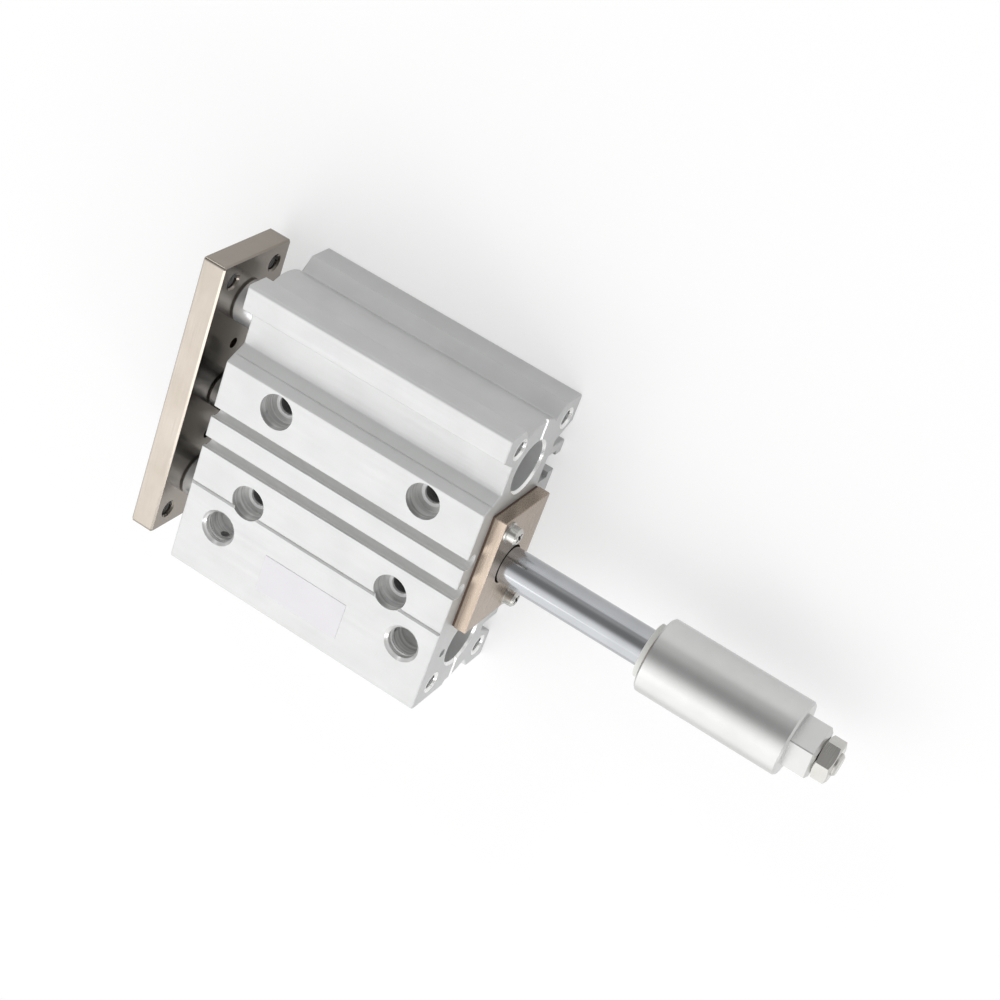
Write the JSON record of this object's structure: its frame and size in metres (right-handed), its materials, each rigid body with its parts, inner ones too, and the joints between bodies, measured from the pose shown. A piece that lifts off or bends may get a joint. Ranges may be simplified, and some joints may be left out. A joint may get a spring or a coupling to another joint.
{
  "type": "guided pneumatic cylinder",
  "caption": "Compact guided pneumatic cylinder with a tooling plate on guide rods, a through piston rod and an adjustable stroke stopper on its tail.",
  "frame": {"origin": "centre of the four body mounting holes, on the flat back face", "axes": "+X towards the tooling plate, along the stroke; +Y to the port side; +Z out of the port face"},
  "size_m": [0.1907, 0.083, 0.0361],
  "materials": {
    "body_aluminium": "clear anodised extruded aluminium, fine satin",
    "cover_aluminium": "turned aluminium, natural",
    "nickel_plate": "ground steel with bright nickel plating",
    "hard_chrome": "hard chrome plated, ground and polished",
    "zinc_screw": "bright zinc plated steel",
    "black_screw": "black oxide alloy steel",
    "stopper_steel": "fine turned steel with nickel plating",
    "nitrile_rubber": "black nitrile rubber",
    "urethane_bumper": "pale cast polyurethane",
    "gasket_sheet": "dark brown gasket sheet",
    "bearing_bronze": "sintered bearing bronze",
    "wear_plastic": "natural acetal",
    "bonded_magnet": "dark bonded magnet",
    "label_foil": "blank white label with a satin laminate"
  },
  "bodies": {
    "housing": {"cylinder_body": "body_aluminium", "head_cover": "cover_aluminium", "head_cover_oring": "nitrile_rubber", "tail_rod_bush": "bearing_bronze", "tail_rod_seal": "nitrile_rubber", "rod_cover": "cover_aluminium", "rod_cover_oring": "nitrile_rubber", "piston_rod_bush": "bearing_bronze", "piston_rod_seal": "nitrile_rubber", "rod_cover_retaining_ring": "black_screw", "rear_bumper": "urethane_bumper", "front_bumper": "urethane_bumper", "front_guide_bushes": "bearing_bronze", "rear_guide_bushes": "bearing_bronze", "guide_rod_wipers": "nitrile_rubber", "drilling_plug": "cover_aluminium", "head_gasket": "gasket_sheet", "rear_plate": "nickel_plate", "rear_plate_screws": "zinc_screw", "rear_plate_washers": "zinc_screw", "rear_plate_spring_washers": "zinc_screw", "blank_label": "label_foil"},
    "carriage": {"tooling_plate": "nickel_plate", "guide_rod_screws": "black_screw", "piston_rod_screw": "black_screw", "guide_rod_plain_side": "hard_chrome", "guide_rod_port_side": "hard_chrome", "piston_rod": "hard_chrome", "piston": "cover_aluminium", "piston_seal": "nitrile_rubber", "piston_magnet": "bonded_magnet", "piston_wear_ring": "wear_plastic", "tail_rod": "hard_chrome", "stopper_stud": "zinc_screw"},
    "stopper": {"stopper_sleeve": "stopper_steel", "stopper_bumper": "urethane_bumper"},
    "stopper_lock": {"lock_nut": "zinc_screw"}
  },
  "joints": [
    {"name": "extension", "type": "slide", "parent": "housing", "child": "carriage", "axis": [1, 0, 0], "range_m": [0, 0.04]},
    {"name": "stopper_turn", "type": "hinge", "parent": "carriage", "child": "stopper", "pos_m": [-0.1, 0, 0.019], "axis": [1, 0, 0], "continuous": true},
    {"name": "lock_nut_turn", "type": "hinge", "parent": "carriage", "child": "stopper_lock", "pos_m": [-0.1334, 0, 0.019], "axis": [1, 0, 0], "continuous": true}
  ]
}
